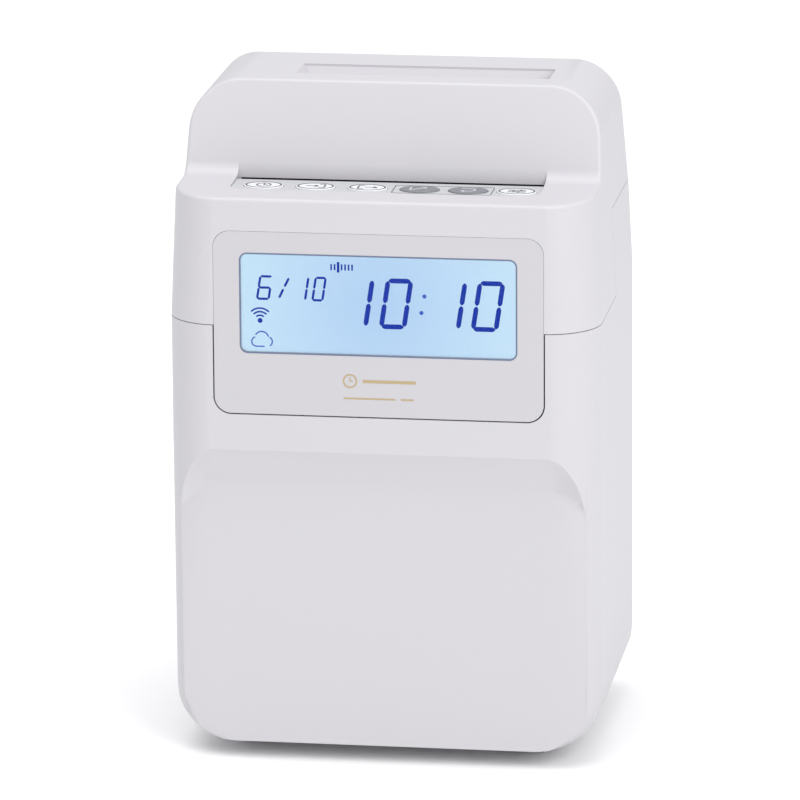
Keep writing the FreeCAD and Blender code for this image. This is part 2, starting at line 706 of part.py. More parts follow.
def make_key_board():
    """Switch board under the tray, with one push switch below each stem."""
    board = block("KeyBoardPlate", ("-bay_half", "bay_half"), ("bay_back + 1", "slot_front - 1"),
                  ("keyboard_z", "keyboard_z + keyboard_thick"))
    parts = [board]
    for number in range(6):
        middle = (f"key_first + {min(number, 3)} * key_pitch"
                  f" + {max(number - 3, 0)} * key_pitch_right")
        parts.append(rod(f"Switch{number}", "z", "stem_radius + 0.6",
                         ("keyboard_z", "switch_top_z"), (middle, "key_back")))
    return keep(joined("KeyBoard", *parts), "key_board")


def make_hinge_pins():
    pins = []
    for side in (-1, 1):
        spans = hinge_spans(side)
        pins.append(solid(f"HingePin{side + 1}", knuckle(spans[0][0], spans[2][1],
                                                         size("pin_radius"))))
    return keep(group("HingePins", *pins), "hinge_pins")


def make_lock():
    """Cam lock in the left side of the cover: barrel, and a plug whose cam turns inside."""
    outer = "-(width / 2 - 0.6)"
    middle = ("lock_back", "lock_z")
    barrel = rod("LockBarrelBody", "x", "lock_radius", (outer, "-lock_inner"), middle)
    bore = rod("LockBore", "x", "plug_radius + bearing_play", ("-width", "-lock_inner + 5"), middle)
    keep(less("LockBarrel", barrel, bore), "lock_barrel")
    plug = rod("LockPlugBody", "x", "plug_radius", (outer + " + 0.1", "-lock_inner + 1"), middle)
    cam = block("LockCam", ("-lock_inner + 1", "-lock_inner + 1 + cam_thick"),
                ("lock_back - cam_wide / 2", "lock_back + cam_wide / 2"),
                ("lock_z - cam_long", "lock_z + cam_wide / 2"))
    slot = block("LockKeyway", (outer + " - 1", outer + " + 6"),
                 ("lock_back - 0.6", "lock_back + 0.6"), ("lock_z - 3.2", "lock_z + 3.2"))
    return keep(less("LockPlug", joined("LockPlugCam", plug, cam), slot), "lock_plug")


def make_chassis():
    """Folded steel frame: deck, two cheeks with bearing holes, cross web and lock tab."""
    deck = block("Deck", ("-cheek_x - sheet_steel", "cheek_x + sheet_steel"),
                 ("deck_front", "cheek_rear"), ("deck_z", "deck_z + sheet_steel"))
    web = block("Web", ("-cheek_x", "cheek_x"), ("web_back", "web_back + sheet_steel"),
                ("deck_z", "web_top_z"))
    parts = [deck, web]
    for name, low in (("CheekLeft", "-cheek_x - sheet_steel"), ("CheekRight", "cheek_x")):
        parts.append(block(name, (low, low + " + sheet_steel"), ("deck_front", "cheek_rear"),
                           ("deck_z", "cheek_top_z")))
        parts.append(block(name + "Nose", (low, low + " + sheet_steel"),
                           ("cheek_front", "deck_front"), ("carriage_low_z - 4", "cheek_top_z - 5")))
    tab = block("LockTab", ("-lock_inner + 0.5", "-cheek_x"),
                ("lock_back + cam_wide", "lock_back + cam_long + 2"),
                ("lock_z + cam_wide / 2 + tab_gap", "lock_z + cam_wide / 2 + tab_gap + sheet_steel"))
    parts.append(tab)
    holes = []
    axles = (("FeedHole", "feed_shaft + bearing_play", "feed_back", "feed_z"),
             ("PinchHole", "pinch_shaft + bearing_play", "pinch_back", "feed_z"),
             ("LeadHole", "lead_radius + bearing_play", "rail_back", "screw_axis_z"),
             ("RailHole", "rail_radius", "rail_back", "rail_z"))
    for name, radius, back, up in axles:
        holes.append(rod(name, "x", radius, ("-width / 2", "width / 2"), (back, up)))
    for side in ("-", ""):
        for name, back in (("Front", "screw_front"), ("Rear", "screw_rear")):
            holes.append(rod(f"DeckHole{name}{len(holes)}", "z", "screw_radius",
                             ("deck_z - 1", "deck_z + 5"), (side + "screw_x", back)))
    return keep(less("Chassis", joined("ChassisBlank", *parts), *holes), "chassis")


def make_chute():
    """Card chute: front plate, rear channel with side rails, card stop, platen and card sensor."""
    front = block("ChuteFrontPlate", ("-chute_half", "chute_half"),
                  ("slot_front - chute_thick", "slot_front"), ("chute_low_z", "chute_top_z"))
    rollers = [block(f"FeedWindow{side}", (f"{side} * roller_x - roller_long / 2 - 1",
                                          f"{side} * roller_x + roller_long / 2 + 1"),
                     ("slot_front - 5", "slot_front + 5"),
                     ("feed_z - feed_roller - 1", "feed_z + feed_roller + 1")) for side in (-1, 1)]
    print_gap = block("PrintWindow", ("-print_half", "print_half"),
                      ("slot_front - 5", "slot_front + 5"),
                      ("print_z - print_window", "print_z + print_window"))
    keep(less("ChuteFront", front, print_gap, *rollers), "chute_front")

    rear = block("ChuteRearPlate", ("-chute_half", "chute_half"),
                 ("slot_rear", "slot_rear + chute_thick"), ("chute_low_z", "chute_top_z"))
    rails = [block("ChuteRailLeft", ("-chute_half", "-card_half"), ("slot_front", "slot_rear"),
                   ("chute_low_z", "chute_top_z")),
             block("ChuteRailRight", ("card_half", "chute_half"), ("slot_front", "slot_rear"),
                   ("chute_low_z", "chute_top_z"))]
    pinches = [block(f"PinchWindow{side}", (f"{side} * roller_x - roller_long / 2 - 1",
                                           f"{side} * roller_x + roller_long / 2 + 1"),
                     ("slot_rear - 1", "slot_rear + 8"),
                     ("feed_z - pinch_roller - 1", "feed_z + pinch_roller + 1")) for side in (-1, 1)]
    bed = block("PlatenBed", ("-print_half - 1", "print_half + 1"), ("slot_rear - 1", "slot_rear + 8"),
                ("print_z - platen_tall / 2", "print_z + platen_tall / 2"))
    keep(less("ChuteRear", joined("ChuteRearBlank", rear, *rails), bed, *pinches), "chute_rear")

    keep(block("CardStop", ("-card_half", "card_half"), ("slot_front", "slot_rear"),
               ("chute_low_z", "chute_low_z + stop_tall")), "card_stop")
    keep(block("Platen", ("-print_half - 1", "print_half + 1"),
               ("slot_rear", "slot_rear + platen_deep"),
               ("print_z - platen_tall / 2", "print_z + platen_tall / 2")), "platen")
    return keep(block("CardSensor", ("-6", "6"),
                      ("slot_rear + chute_thick", "slot_rear + chute_thick + 5"),
                      ("chute_top_z - 9", "chute_top_z - 2")), "card_sensor")


def make_feed():
    """Driven shaft with two rubber rollers in front of the card, free pinch rollers behind it."""
    middle = ("feed_back", "feed_z")
    keep(rod("FeedShaft", "x", "feed_shaft", ("-shaft_half - 2", "shaft_half"), middle),
         "feed_shaft")
    pinch = ("pinch_back", "feed_z")
    keep(rod("PinchShaft", "x", "pinch_shaft", ("-shaft_half", "shaft_half"), pinch), "pinch_shaft")
    sets = (("FeedRollers", "feed_rollers", "feed_roller", "feed_shaft", middle),
            ("PinchRollers", "pinch_rollers", "pinch_roller", "pinch_shaft", pinch))
    for name, label, radius, shaft, place in sets:
        rollers = []
        for side in (-1, 1):
            span = (f"{side} * roller_x - roller_long / 2", f"{side} * roller_x + roller_long / 2")
            tyre = rod(f"{name}Tyre{side + 1}", "x", radius, span, place)
            rollers.append(less(f"{name}{side + 1}", tyre,
                                rod(f"{name}Bore{side + 1}", "x", shaft, span, place)))
        keep(group(name, *rollers), label)
    can = rod("FeedMotorCan", "x", "motor_radius",
              ("-cheek_x - sheet_steel - motor_long", "-cheek_x - sheet_steel"), middle)
    bore = rod("FeedMotorBore", "x", "feed_shaft + bearing_play",
               ("-shaft_half - 2.5", "-cheek_x"), middle)
    return keep(less("FeedMotor", can, bore), "feed_motor")


def make_carriage():
    """Rail and lead screw across the front of the chute, with the print head they carry."""
    rail, screw = ("rail_back", "rail_z"), ("rail_back", "screw_axis_z")
    keep(rod("CarriageRail", "x", "rail_radius", ("-cheek_x - sheet_steel", "cheek_x + sheet_steel"),
             rail), "carriage_rail")
    keep(rod("LeadScrew", "x", "lead_radius", ("-cheek_x - sheet_steel", "shaft_half + 2"), screw),
         "lead_screw")
    body = block("CarriageBlock", ("-carriage_half", "carriage_half"),
                 ("carriage_front", "carriage_rear"), ("carriage_low_z", "carriage_top_z"))
    bores = [rod("CarriageRailBore", "x", "rail_radius + bearing_play",
                 ("-carriage_half - 1", "carriage_half + 1"), rail),
             rod("CarriageNutBore", "x", "lead_radius + bearing_play",
                 ("-carriage_half - 1", "carriage_half + 1"), screw)]
    keep(less("HeadCarriage", body, *bores), "head_carriage")
    head = block("PrintHeadBody", ("-head_half", "head_half"), ("head_front", "head_rear"),
                 ("carriage_top_z", "head_top_z"))
    nose = block("PrintHeadNose", ("-nose_half", "nose_half"), ("head_rear - 1", "nose_rear"),
                 ("print_z - nose_tall / 2", "print_z + nose_tall / 2"))
    fins = [block(f"HeadFin{number}", ("-head_half - 1", "head_half + 1"),
                  (f"head_front + {2 + 3 * number}", f"head_front + {3.4 + 3 * number}"),
                  ("head_top_z - 4", "head_top_z + 1")) for number in range(3)]
    keep(less("PrintHead", joined("PrintHeadBlank", head, nose), *fins), "print_head")
    can = rod("CarriageMotorCan", "x", "drive_radius",
              ("cheek_x + sheet_steel", "cheek_x + sheet_steel + drive_long"), screw)
    bore = rod("CarriageMotorBore", "x", "lead_radius + bearing_play",
               ("cheek_x", "shaft_half + 2.5"), screw)
    return keep(less("CarriageMotor", can, bore), "carriage_motor")


def make_ribbon():
    """Ribbon cassette over the head, with two arms, the inked ribbon and a winding knob."""
    tub = block("CassetteTub", ("-cassette_half", "cassette_half"),
                ("cassette_front", "cassette_rear"), ("cassette_z", "cassette_z + cassette_tall"))
    arms = [block(f"CassetteArm{number}", (low, low + " + arm_wide"),
                  ("cassette_rear - arm_deep - 0.6", "cassette_rear - 0.6"),
                  ("arm_low_z", "cassette_z + 1"))
            for number, low in enumerate(("-cassette_half", "cassette_half - arm_wide"))]
    keep(joined("RibbonCassette", tub, *arms), "ribbon_cassette")
    keep(block("InkRibbon", ("-cassette_half", "cassette_half"),
               ("cassette_rear - 0.6 + 0.0", "cassette_rear - 0.6 + ribbon_thick"),
               ("print_z - ribbon_tall / 2", "print_z + ribbon_tall / 2")), "ink_ribbon")
    low = "cassette_z + cassette_tall"
    disc = rod("KnobDisc", "z", "knob_radius", (low, low + " + knob_tall"),
               ("knob_x", "(cassette_front + cassette_rear) / 2"))
    notches = []
    for number in range(12):
        turn = math.radians(30 * number)
        reach = "(knob_radius + 0.4)"
        notches.append(rod(f"KnobNotch{number}", "z", "1.3", (low + " - 1", low + " + knob_tall + 1"),
                           (f"knob_x + {reach} * ({math.cos(turn):.4f})",
                            f"(cassette_front + cassette_rear) / 2 + {reach} * ({math.sin(turn):.4f})")))
    return keep(less("RibbonKnob", disc, *notches), "ribbon_knob")


def make_electronics():
    """Main board behind the web, power board above the sloping floor, battery pack and buzzer."""
    board = block("MainBoardPlate", ("-board_half", "board_half"),
                  ("board_back", "board_back + board_thick"), ("board_low_z", "board_top_z"))
    chips = (("Processor", -14, 8, 95, 117, 2.4), ("Memory", 16, 30, 100, 110, 2.0),
             ("Radio", -38, -22, 120, 145, 3.0), ("Driver", 14, 26, 70, 82, 2.2),
             ("CableHead", -30, 20, 54, 60, 6.0))
    parts = [block(name, (str(left), str(right)), ("board_back + board_thick - 0.2",
                   f"board_back + board_thick + {tall}"), (str(low), str(top)))
             for name, left, right, low, top, tall in chips]
    keep(joined("MainBoard", board, *parts), "main_board")
    posts = [rod(f"Standoff{number}", "y", "standoff_radius", ("web_back + sheet_steel", "board_back"),
                 (f"{side} * (board_half - 5)", up))
             for number, (side, up) in enumerate(((-1, "board_low_z + 5"), (1, "board_low_z + 5"),
                                                  (-1, "board_top_z - 5"), (1, "board_top_z - 5")))]
    keep(group("BoardStandoffs", *posts), "board_standoffs")
    keep(rod("Buzzer", "y", "buzzer_radius", ("board_back + board_thick",
             "board_back + board_thick + buzzer_tall"), ("buzzer_x", "buzzer_z")), "buzzer")
    plate = block("PowerBoardPlate", ("power_left", "power_right"), ("power_front", "power_rear"),
                  ("power_z - board_thick", "power_z"))
    cans = [rod(f"PowerCan{number}", "z", f"{radius}", ("power_z - 0.2", f"power_z + {tall}"),
                (f"power_left + {place}", "power_front + 20"))
            for number, (place, radius, tall) in enumerate(((10, 5, 16), (24, 4, 12), (36, 4, 12)))]
    coil = block("PowerCoil", ("power_left + 44", "power_left + 58"),
                 ("power_front + 8", "power_front + 22"), ("power_z - 0.2", "power_z + 9"))
    keep(joined("PowerBoard", plate, coil, *cans), "power_board")
    cells = [rod(f"Cell{number}", "x", "battery_radius", ("battery_left",
             "battery_left + battery_long"),
                 (f"battery_back", f"deck_z + sheet_steel + battery_radius + {number} * 2 * battery_radius"))
             for number in range(2)]
    return keep(group("BackupBattery", *cells), "backup_battery")


def make_sockets():
    """Direct-current inlet and network socket in the rear wall."""
    rear = "depth - 0.4"
    shell = block("InletShell", ("inlet_x - inlet_half", "inlet_x + inlet_half"),
                  (f"{rear} - inlet_long", rear), ("socket_z - inlet_half", "socket_z + inlet_half"))
    bore = rod("InletBore", "y", "inlet_bore", (f"{rear} - inlet_long + 3", "depth + 1"),
               ("inlet_x", "socket_z"))
    pin = rod("InletPin", "y", "inlet_pin", (f"{rear} - inlet_long + 2", f"{rear} - 2"),
              ("inlet_x", "socket_z"))
    keep(joined("DcInlet", less("InletHollow", shell, bore), pin), "dc_inlet")
    housing = block("LanHousing", ("lan_x - lan_half", "lan_x + lan_half"),
                    (f"{rear} - lan_long", rear),
                    ("socket_z - lan_tall / 2", "socket_z + lan_tall / 2"))
    mouth = block("LanMouth", ("lan_x - jack_half", "lan_x + jack_half"),
                  (f"{rear} - jack_deep", "depth + 1"),
                  ("socket_z - jack_tall / 2", "socket_z + jack_tall / 2"))
    latch = block("LanLatch", ("lan_x - 3", "lan_x + 3"), (f"{rear} - jack_deep", "depth + 1"),
                  ("socket_z - jack_tall / 2 - 1.6", "socket_z"))
    return keep(less("LanSocket", housing, mouth, latch), "lan_socket")


def make_feet():
    """Four flat rubber pads under the floor."""
    pads = []
    for name, side in (("Left", "-"), ("Right", "")):
        across = ("-pad_outer", "-pad_inner") if side else ("pad_inner", "pad_outer")
        for place in ("pad_front", "pad_rear"):
            pads.append(block(f"Pad{name}{place.title().replace('_', '')}", across,
                              (place, place + " + pad_deep"), ("0", "floor_z")))
    return keep(group("RubberFeet", *pads), "rubber_feet")


def make_screws():
    """Four screws up through the floor bosses into the chassis deck."""
    screws = []
    for side in (-1, 1):
        for name, back in (("Front", "screw_front"), ("Rear", "screw_rear")):
            middle = (f"{side} * screw_x", back)
            shank = rod(f"Shank{name}{side + 1}", "z", "screw_radius",
                        ("floor_z + 0.5", "deck_z + sheet_steel"), middle)
            head = rod(f"Head{name}{side + 1}", "z", "screw_head",
                       ("floor_z + 0.3", "floor_z + screw_head_tall"), middle)
            screws.append(joined(f"Screw{name}{side + 1}", shank, head))
    return keep(group("ChassisScrews", *screws), "chassis_screws")


make_display_panel()
make_display_window()
make_lcd_glass()
make_lcd_module()
make_key_panel()
make_keys()
make_key_board()
make_hinge_pins()
make_lock()
make_chassis()
make_chute()
make_feed()
make_carriage()
make_ribbon()
make_electronics()
make_sockets()
make_feet()
make_screws()

doc.recompute()
for thing in doc.Objects:
    if "Invalid" in thing.State or "Error" in thing.State:
        raise RuntimeError(f"{thing.Name} did not compute: {thing.State}")
for piece in PIECES:
    if piece.Shape.isNull() or not piece.Shape.isValid() or not piece.Shape.Solids:
        raise RuntimeError(f"{piece.Label} has no valid solid")

os.makedirs("parts", exist_ok=True)
for piece in PIECES:
    piece.Shape.exportStep(f"parts/{piece.Label}.step")
    print(f"{piece.Label}: {len(piece.Shape.Solids)} solid(s), {piece.Shape.Volume:.0f} mm3")
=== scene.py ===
"""Punch time clock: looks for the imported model, in metres, front facing -Y, +Z up."""
import math

import bmesh
import bpy
import numpy as np
from mathutils import Matrix, Vector


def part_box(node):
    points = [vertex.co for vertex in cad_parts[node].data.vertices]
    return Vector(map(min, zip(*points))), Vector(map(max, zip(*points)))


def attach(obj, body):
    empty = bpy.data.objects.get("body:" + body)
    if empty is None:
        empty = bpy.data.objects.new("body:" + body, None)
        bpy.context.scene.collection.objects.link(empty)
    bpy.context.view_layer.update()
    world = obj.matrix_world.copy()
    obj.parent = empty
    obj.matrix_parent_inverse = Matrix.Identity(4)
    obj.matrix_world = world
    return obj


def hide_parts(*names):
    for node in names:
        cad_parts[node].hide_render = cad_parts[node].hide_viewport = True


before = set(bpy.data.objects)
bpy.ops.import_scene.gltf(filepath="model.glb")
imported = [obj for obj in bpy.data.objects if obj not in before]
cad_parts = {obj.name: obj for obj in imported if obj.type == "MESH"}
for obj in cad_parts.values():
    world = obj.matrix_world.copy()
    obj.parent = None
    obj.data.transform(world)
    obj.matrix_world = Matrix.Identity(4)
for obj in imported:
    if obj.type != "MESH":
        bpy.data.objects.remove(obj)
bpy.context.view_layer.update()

MM = 0.001
RIGHT = np.array((1.0, 0.0, 0.0))
BACK = np.array((0.0, 1.0, 0.0))
UP = np.array((0.0, 0.0, 1.0))


# ---- tools for materials ----

def linear(colour):
    """Linear RGBA of an sRGB hex colour such as '#C0FFEE'."""
    channels = [int(colour[i:i + 2], 16) / 255 for i in (1, 3, 5)]
    return [c / 12.92 if c <= 0.04045 else ((c + 0.055) / 1.055) ** 2.4 for c in channels] + [1.0]


def add(tree, kind, settings=None, links=None):
    """Adds a shader node, sets its properties or sockets and links (input -> output socket)."""
    node = tree.nodes.new(kind)
    for name, value in (settings or {}).items():
        if hasattr(node, name):
            setattr(node, name, value)
        else:
            node.inputs[name].default_value = value
    for name, source in (links or {}).items():
        tree.links.new(source, node.inputs[name])
    return node


def material(name, colour, **sockets):
    """Principled material with its constants set on the shader's own sockets."""
    made = bpy.data.materials.new(name)
    made.use_nodes = True
    shader = made.node_tree.nodes["Principled BSDF"]
    shader.inputs["Base Color"].default_value = linear(colour)
    for socket, value in sockets.items():
        shader.inputs[socket.replace("_", " ")].default_value = value
    return made, made.node_tree, shader


def plain(name, colour, **sockets):
    """Material of one even colour."""
    return material(name, colour, **sockets)[0]


def grained(name, colour, grain_mm, height_mm, **sockets):
    """Material with a fine even texture as bump, grain_mm across and height_mm deep."""
    made, tree, shader = material(name, colour, **sockets)
    place = add(tree, "ShaderNodeTexCoord")
    noise = add(tree, "ShaderNodeTexNoise",
                {"Scale": 1 / (grain_mm * MM), "Detail": 3.0, "Roughness": 0.6},
                {"Vector": place.outputs["Object"]})
    bump = add(tree, "ShaderNodeBump", {"Distance": height_mm * MM},
               {"Height": noise.outputs["Fac"]})
    tree.links.new(bump.outputs["Normal"], shader.inputs["Normal"])
    return made


def spangled(name, dark, bright, spangle_mm, **sockets):
    """Zinc coat whose crystals, spangle_mm across, run between a dark and a bright grey."""
    made, tree, shader = material(name, dark, **sockets)
    place = add(tree, "ShaderNodeTexCoord")
    crystals = add(tree, "ShaderNodeTexVoronoi", {"Scale": 1 / (spangle_mm * MM)},
                   {"Vector": place.outputs["Object"]})
    ramp = add(tree, "ShaderNodeValToRGB", links={"Fac": crystals.outputs[0]})
    for stop, colour in zip(ramp.color_ramp.elements, (dark, bright)):
        stop.color = linear(colour)
    tree.links.new(ramp.outputs["Color"], shader.inputs["Base Color"])
    return made


def lcd_glow(middle_colour, rim_colour, glow):
    """Backlit LCD face: its light runs from middle_colour to rim_colour over half its width."""
    made, tree, shader = material("LCD face, backlit pale blue", "#2A3A4C",
                                  Roughness=0.25, IOR=1.5)
    low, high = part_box("lcd_glass")
    place = add(tree, "ShaderNodeTexCoord")
    reach = add(tree, "ShaderNodeVectorMath", {"operation": "DISTANCE"},
                {0: place.outputs["Object"]})
    reach.inputs[1].default_value = (low + high) / 2
    share = add(tree, "ShaderNodeMapRange", {"From Max": (high.x - low.x) / 2},
                {"Value": reach.outputs["Value"]})
    ramp = add(tree, "ShaderNodeValToRGB", links={"Fac": share.outputs["Result"]})
    for stop, colour in zip(ramp.color_ramp.elements, (middle_colour, rim_colour)):
        stop.color = linear(colour)
    tree.links.new(ramp.outputs["Color"], shader.inputs["Emission Color"])
    shader.inputs["Emission Strength"].default_value = glow
    return made


def lit_segment(name, colour):
    """LCD segment: the backlight shows through it in one colour, with no gloss of its own."""
    return plain(name, "#06081C", Roughness=0.8, Specular_IOR_Level=0.0,
                 Emission_Color=linear(colour), Emission_Strength=0.7)


def solder_mask(brick_mm, laminate, patch, track):
    """Circuit board: bricks brick_mm wide and half as tall in two greens, tracks in a third."""
    brick_units = 0.5
    made, tree, shader = material("Circuit board, green solder mask", laminate,
                                  Roughness=0.35, IOR=1.5)
    place = add(tree, "ShaderNodeTexCoord")
    upright = add(tree, "ShaderNodeMapping", {"Rotation": (math.pi / 2, 0, 0)},
                  {"Vector": place.outputs["Object"]})
    tracks = add(tree, "ShaderNodeTexBrick",
                 {"Scale": brick_units / (brick_mm * MM), "Brick Width": brick_units,
                  "Mortar Size": 0.03, "Mortar Smooth": 0.3,
                  "Color1": linear(laminate), "Color2": linear(patch), "Mortar": linear(track)},
                 {"Vector": upright.outputs["Vector"]})
    tree.links.new(tracks.outputs["Color"], shader.inputs["Base Color"])
    return made


# ---- plastics of the outside ----

# Moulded ABS: nearly white, with wide soft highlights. The mould texture is drawn coarser than
# the real one, so that it shows at all.
WHITE = grained("ABS, off-white, fine satin mould texture", "#BFBDC1", 0.9, 0.006,
                IOR=1.53, Roughness=0.46)
# Printed overlay of the display: a shade darker and smoother than the case round it.
PANEL = grained("Polycarbonate overlay, satin, pale grey", "#B9B7BB", 0.7, 0.003,
                IOR=1.58, Roughness=0.36)
# Window: seen only as a very faint gloss over the LCD.
CLEAR = plain("Acrylic window, clear, low-reflection coating", "#FFFFFF", IOR=1.49,
              Roughness=0.01, Transmission_Weight=1.0, Specular_IOR_Level=0.1,
              Specular_Tint=(0.15, 0.15, 0.15, 1))
# Key strip and caps: cooler greys with a low, even sheen.
STRIP = grained("Polycarbonate key strip, satin, cool grey", "#B8B9BC", 0.6, 0.002,
                IOR=1.58, Roughness=0.34)
KEY_LIGHT = grained("Key cap, pale grey ABS", "#DBDCDF", 0.5, 0.002, IOR=1.53, Roughness=0.38)
KEY_DARK = grained("Key cap, dark grey ABS", "#74767C", 0.5, 0.002, IOR=1.53, Roughness=0.4)
# Sockets, cassette and module housings: flat black that keeps only a dull highlight.
BLACK_ABS = grained("ABS, black, matt", "#1B1B1D", 0.6, 0.01, Roughness=0.5)

# ---- light and print ----

# Backlit LCD: an even pale blue, a little deeper in the middle.
LCD = lcd_glow("#B0D2F6", "#C8E8FD", 0.86)
# Segments: saturated blue for the time and date, a lighter blue for the small signs.
SEGMENT = lit_segment("LCD segment, strong blue", "#1B3FC0")
SEGMENT_PALE = lit_segment("LCD segment, light blue", "#4A74E4")
# Screen-printed inks: thin flat films without grain.
INK = plain("Screen-print ink, dark grey", "#474950", Roughness=0.5)
INK_LIGHT = plain("Screen-print ink, pale grey", "#C9CBD0", Roughness=0.5)
GOLD_INK = plain("Screen-print ink, muted gold", "#AC9873", Roughness=0.45)
# Painted shade: a blue-grey line where the narrow gap round the window shows. It is not print.
WINDOW_GAP_SHADE = plain("Blue-grey line, painted shade of the window gap", "#5F6A84", Roughness=0.4)
# Painted shade: a black sheet that takes all the light, so the card slot reads as a black line.
SLOT_SHADE_BLACK = plain("Black sheet, painted shade in the card slot", "#060607", Roughness=0.95)

# ---- metals ----

# Zinc-coated sheet: dull grey metal with a patchwork of crystals.
GALVANISED = spangled("Galvanised steel sheet, fine spangle", "#A9ADB0", "#BEC2C5", 7,
                      Metallic=1.0, Roughness=0.38)
# Shafts and screws: bright, with sharp long highlights.
GROUND = plain("Ground steel shaft, bright", "#C4C5C7", Metallic=1.0, Roughness=0.16)
# Lock and standoffs: warm, faintly uneven shine.
NICKEL = grained("Nickel-plated zinc, turned", "#C9C5BC", 0.3, 0.003,
                 Metallic=1.0, Roughness=0.22)
# Motor cans: even grey metal, softer than the shafts.
MOTOR = plain("Motor can, zinc-plated steel", "#9FA3A8", Metallic=1.0, Roughness=0.3)
# Castings: blasted surface without a clear highlight.
CAST = grained("Die-cast aluminium, bead-blasted", "#8D9094", 0.35, 0.02,
               Metallic=0.9, Roughness=0.5)

# ---- plastics, rubber and cloth of the inside ----

# Guides: smooth, slightly waxy dark grey.
CHUTE = grained("POM guide, dark grey, smooth", "#3A3C41", 0.8, 0.003, Roughness=0.4)
# Feet, platen and rollers: matt, the rollers a ground grey and the rest black.
RUBBER = grained("Rubber, black, matt", "#141414", 0.4, 0.02, Roughness=0.85)
ROLLER = grained("Rubber roller, ground, dark grey", "#3C3D40", 0.25, 0.015, Roughness=0.75)
# Ribbon: woven nylon, almost black with a violet cast.
RIBBON = grained("Inked nylon ribbon, violet black", "#1E1A2B", 0.25, 0.02, Roughness=0.8)
# Winding knob: the one strong colour inside the case.
KNOB = grained("POM knob, blue", "#2E56A6", 0.5, 0.004, Roughness=0.35)
# Battery: tight shiny film.
SLEEVE = plain("Battery sleeve, green shrink film", "#2D6B52", Roughness=0.3)
# Boards: glossy green, with paler tracks in right-angled runs.
BOARD = solder_mask(7, "#1F5A34", "#25663B", "#3F8650")

FINISHES = {
    PANEL: ("display_panel",),
    CLEAR: ("display_window",),
    LCD: ("lcd_glass",),
    BLACK_ABS: ("lcd_module", "ribbon_cassette", "dc_inlet", "lan_socket", "buzzer",
                "card_sensor"),
    STRIP: ("key_panel",),
    KEY_LIGHT: ("key_1", "key_2", "key_3", "key_6"),
    KEY_DARK: ("key_4", "key_5"),
    BOARD: ("key_board", "main_board", "power_board"),
    GALVANISED: ("chassis",),
    GROUND: ("hinge_pins", "feed_shaft", "pinch_shaft", "carriage_rail", "chassis_screws"),
    NICKEL: ("lock_barrel", "lock_plug", "board_standoffs"),
    RUBBER: ("rubber_feet", "platen"),
    ROLLER: ("feed_rollers", "pinch_rollers"),
    CHUTE: ("chute_front", "chute_rear", "card_stop"),
    MOTOR: ("feed_motor", "carriage_motor"),
    CAST: ("head_carriage", "print_head"),
    RIBBON: ("ink_ribbon",),
    KNOB: ("ribbon_knob",),
    SLEEVE: ("backup_battery",),
}


# ---- surfaces and flat marks, in mm on their own plane ----

def from_grids(name, grids, finish):
    """One mesh from grids of points P[i, j], joined into quads and closed along i where asked."""
    corners, quads, start = [], [], 0
    for points, closed in grids:
        rows, columns = points.shape[:2]
        index = np.arange(rows * columns).reshape(rows, columns) + start
        near, far = (index, np.roll(index, -1, axis=0)) if closed else (index[:-1], index[1:])
        cells = np.stack([near[:, :-1], near[:, 1:], far[:, 1:], far[:, :-1]], -1)
        quads.append(cells.reshape(-1, 4))
        corners.append(points.reshape(-1, 3))
        start += rows * columns
    mesh = bpy.data.meshes.new(name)
    mesh.from_pydata(np.concatenate(corners).tolist(), [], np.concatenate(quads).tolist())
    mesh.materials.append(finish)
    made = bpy.data.objects.new(name, mesh)
    bpy.context.scene.collection.objects.link(made)
    return made


def circle(angles):
    """Unit circle points (cos t, sin t) for angles t in radians."""
    return np.stack([np.cos(angles), np.sin(angles)], -1)


def ribbon(path, half, closed=False):
    """Flat ribbon P(s, t) = path(s) + t half(s) n(s), t = -1, 1, with n the path's normal."""
    path = np.asarray(path, float)
    if closed:
        along = np.roll(path, -1, 0) - np.roll(path, 1, 0)
    else:
        along = np.gradient(path, axis=0)
    normal = np.stack([-along[:, 1], along[:, 0]], -1) / np.linalg.norm(along, axis=1)[:, None]
    offset = normal * np.broadcast_to(half, len(path))[:, None]
    return np.stack([path - offset, path + offset], 1), closed


def stroke(start, stop, half, tip=1.0):
    """Straight ribbon from start to stop. A tip below 1 is its width's share at the two ends,
    and it narrows to that over the last half-width."""
    start, stop = np.asarray(start, float), np.asarray(stop, float)
    step = (stop - start) / np.linalg.norm(stop - start) * half
    return ribbon([start, start + step, stop - step, stop], half * np.array([tip, 1, 1, tip]))


def arc(middle, radius, start, stop, half):
    """Ribbon along middle + radius (cos t, sin t), t in degrees; a full turn is closed."""
    steps = 40
    whole = abs(stop - start) >= 360
    turn = np.radians(np.linspace(start, stop, steps, endpoint=not whole))
    return ribbon(np.asarray(middle) + radius * circle(turn), half, whole)


def dot(middle, radius):
    """Filled disc: a closed ribbon half as wide as the disc, along its half radius."""
    nearly_half = 0.499
    return arc(middle, radius / 2, 0, 360, radius * nearly_half)


def rounded_path(half_wide, half_tall, radius):
    """Closed path of four quarter circles c + radius (cos t, sin t), c the corner centres."""
    quarter = np.linspace(0, np.pi / 2, 9)
    signs = np.array([(1, 1), (-1, 1), (-1, -1), (1, -1)])
    middles = signs * (half_wide - radius, half_tall - radius)
    return np.concatenate([middle + radius * circle(quarter + number * np.pi / 2)
                           for number, middle in enumerate(middles)])


